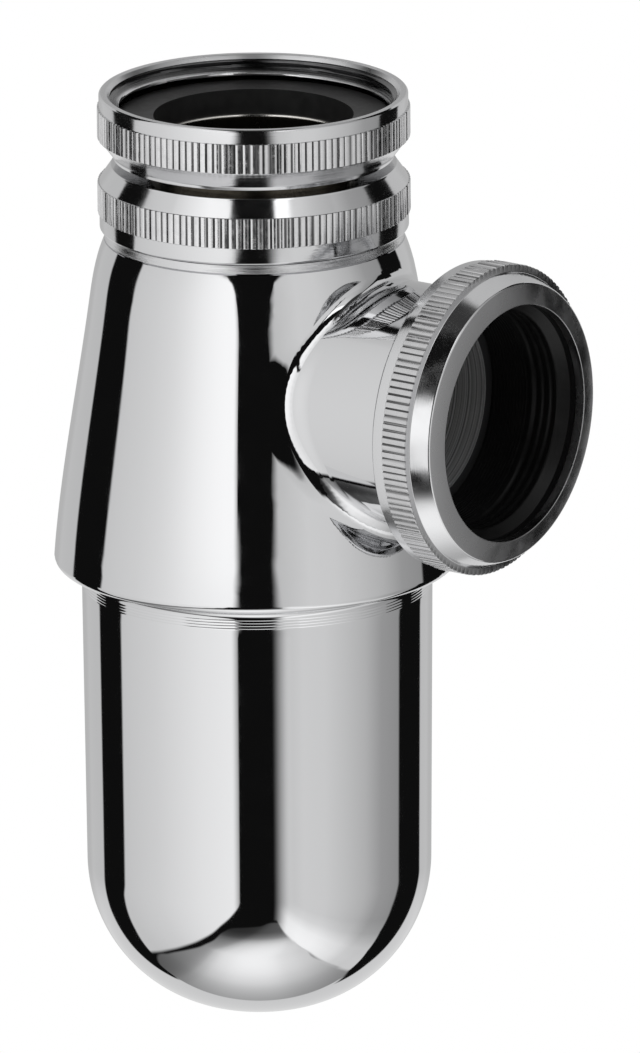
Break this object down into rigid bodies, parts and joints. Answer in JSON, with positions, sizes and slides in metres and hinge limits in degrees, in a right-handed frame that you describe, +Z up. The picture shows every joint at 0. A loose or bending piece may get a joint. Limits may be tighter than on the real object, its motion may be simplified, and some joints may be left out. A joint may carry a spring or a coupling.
{
  "type": "bottle trap",
  "caption": "Bottle trap for a wash basin: knurled union nuts, a bell-shaped body with a side outlet, and a round-bottomed cup that unscrews for cleaning.",
  "frame": {"origin": "centre of the inlet washer's top face, on the inlet axis, where the basin waste seats", "axes": "+Z up the inlet axis, out of the inlet nut; +X along the side outlet, out of the outlet nut"},
  "size_m": [0.0762, 0.0594, 0.1386],
  "materials": {
    "chrome_plate": "mirror-polished chrome plate over cast and spun brass",
    "knurled_chrome": "turned and knurled brass under chrome plate, with fine lathe lines",
    "turned_brass": "plain drawn and turned brass, out of sight inside the trap",
    "black_rubber": "black moulded rubber with fine moulding rings",
    "slip_plastic": "smooth dark plastic"
  },
  "bodies": {
    "inlet_nut": {"inlet_nut": "knurled_chrome"},
    "dip_tube": {"dip_tube": "turned_brass", "tube_collar": "turned_brass", "inlet_washer": "black_rubber"},
    "neck_nut": {"neck_nut": "knurled_chrome"},
    "trap_body": {"trap_body": "chrome_plate", "neck_washer": "black_rubber", "outlet_seal": "black_rubber"},
    "cup_washer": {"cup_washer": "black_rubber"},
    "cup": {"cup": "chrome_plate"},
    "outlet_slip_ring": {"outlet_slip_ring": "slip_plastic"},
    "outlet_nut": {"outlet_nut": "knurled_chrome"}
  },
  "joints": [
    {"name": "inlet_swivel", "type": "hinge", "parent": "inlet_nut", "child": "dip_tube", "pos_m": [0, 0, 0], "axis": [0, 0, 1], "continuous": true},
    {"name": "neck_nut_turn", "type": "hinge", "parent": "dip_tube", "child": "neck_nut", "pos_m": [0, 0, -0.0115], "axis": [0, 0, 1], "continuous": true},
    {"name": "body_swivel", "type": "hinge", "parent": "dip_tube", "child": "trap_body", "pos_m": [0, 0, -0.0116], "axis": [0, 0, 1], "continuous": true},
    {"name": "cup_travel", "type": "slide", "parent": "trap_body", "child": "cup_washer", "axis": [0, 0, -1], "range_m": [0, 0.01]},
    {"name": "cup_turn", "type": "hinge", "parent": "cup_washer", "child": "cup", "pos_m": [0, 0, -0.05865], "axis": [0, 0, -1], "range_deg": [0, 1800]},
    {"name": "outlet_nut_travel", "type": "slide", "parent": "trap_body", "child": "outlet_slip_ring", "axis": [1, 0, 0], "range_m": [0, 0.00577]},
    {"name": "outlet_nut_turn", "type": "hinge", "parent": "outlet_slip_ring", "child": "outlet_nut", "pos_m": [0.0465, 0, -0.03935], "axis": [1, 0, 0], "range_deg": [0, 900]}
  ],
  "couplings": [
    {"joint": "cup_travel", "follows": "cup_turn", "m_per_rad": 0.00031831},
    {"joint": "outlet_nut_travel", "follows": "outlet_nut_turn", "m_per_rad": 0.00036749}
  ]
}
